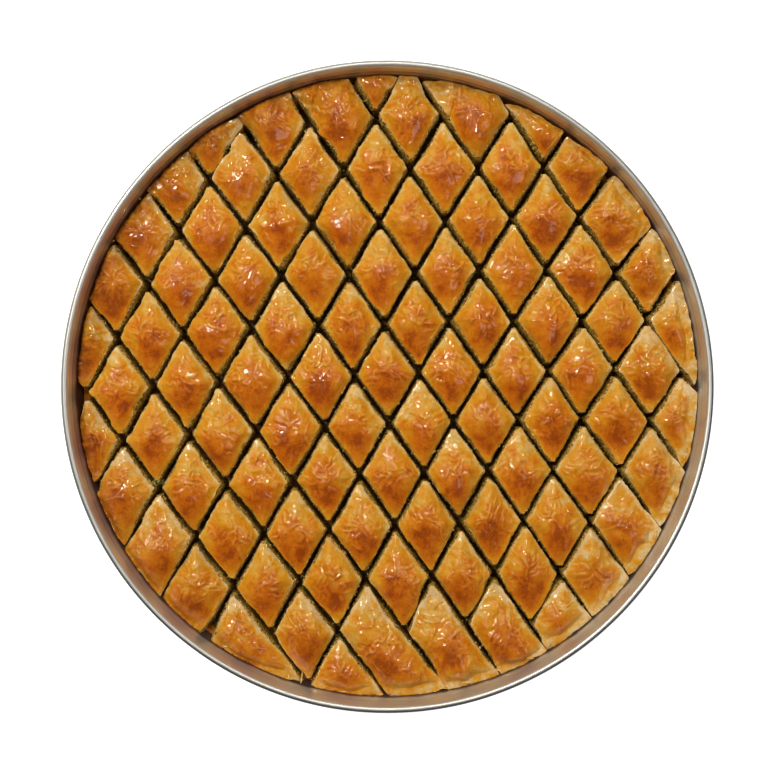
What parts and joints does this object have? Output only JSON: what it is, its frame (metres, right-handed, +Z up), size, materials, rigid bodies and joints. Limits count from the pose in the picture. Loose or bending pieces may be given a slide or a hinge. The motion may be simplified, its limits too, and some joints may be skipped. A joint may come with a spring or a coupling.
{
  "type": "tray of baklava",
  "caption": "Round flared metal tray filled to near its rim with diamond-cut baklava, glossy puffed tops and pistachio in the cuts.",
  "frame": {"origin": "middle of the tray's flat underside, on the surface it rests on", "axes": "+Z up; +X to the right and +Y away as the tray is seen from above, the long diagonals of the diamonds along Y"},
  "size_m": [0.4, 0.4, 0.04],
  "materials": {
    "spun_aluminium": "satin, spun",
    "baked_filo": "crisp, glazed with syrup",
    "edge_filo": "crisp, glazed with syrup",
    "ground_pistachio": "moist crumbs"
  },
  "bodies": {
    "root": {"tray": "spun_aluminium", "edge_pieces": "edge_filo", "piece_1_2": "baked_filo", "piece_1_3": "baked_filo", "piece_1_4": "baked_filo", "piece_1_5": "baked_filo", "piece_2_1": "baked_filo", "piece_2_2": "baked_filo", "piece_2_3": "baked_filo", "piece_2_4": "baked_filo", "piece_2_5": "baked_filo", "piece_2_6": "baked_filo", "piece_3_1": "baked_filo", "piece_3_2": "baked_filo", "piece_3_3": "baked_filo", "piece_3_4": "baked_filo", "piece_3_5": "baked_filo", "piece_3_6": "baked_filo", "piece_3_7": "baked_filo", "piece_4_1": "baked_filo", "piece_4_2": "baked_filo", "piece_4_3": "baked_filo", "piece_4_4": "baked_filo", "piece_4_5": "baked_filo", "piece_4_6": "baked_filo", "piece_4_7": "baked_filo", "piece_5_1": "baked_filo", "piece_5_2": "baked_filo", "piece_5_3": "baked_filo", "piece_5_4": "baked_filo", "piece_5_5": "baked_filo", "piece_5_6": "baked_filo", "piece_5_7": "baked_filo", "piece_5_8": "baked_filo", "piece_6_2": "baked_filo", "piece_6_3": "baked_filo", "piece_6_4": "baked_filo", "piece_6_5": "baked_filo", "piece_6_6": "baked_filo", "piece_6_7": "baked_filo", "piece_6_8": "baked_filo", "piece_6_9": "baked_filo", "piece_7_3": "baked_filo", "piece_7_4": "baked_filo", "piece_7_5": "baked_filo", "piece_7_6": "baked_filo", "piece_7_7": "baked_filo", "piece_7_8": "baked_filo", "piece_7_9": "baked_filo", "piece_8_4": "baked_filo", "piece_8_5": "baked_filo", "piece_8_6": "baked_filo", "piece_8_7": "baked_filo", "piece_8_8": "baked_filo", "piece_8_9": "baked_filo", "piece_9_5": "baked_filo", "piece_9_6": "baked_filo", "piece_9_7": "baked_filo", "piece_9_8": "baked_filo", "piece_9_9": "baked_filo"}
  },
  "joints": []
}
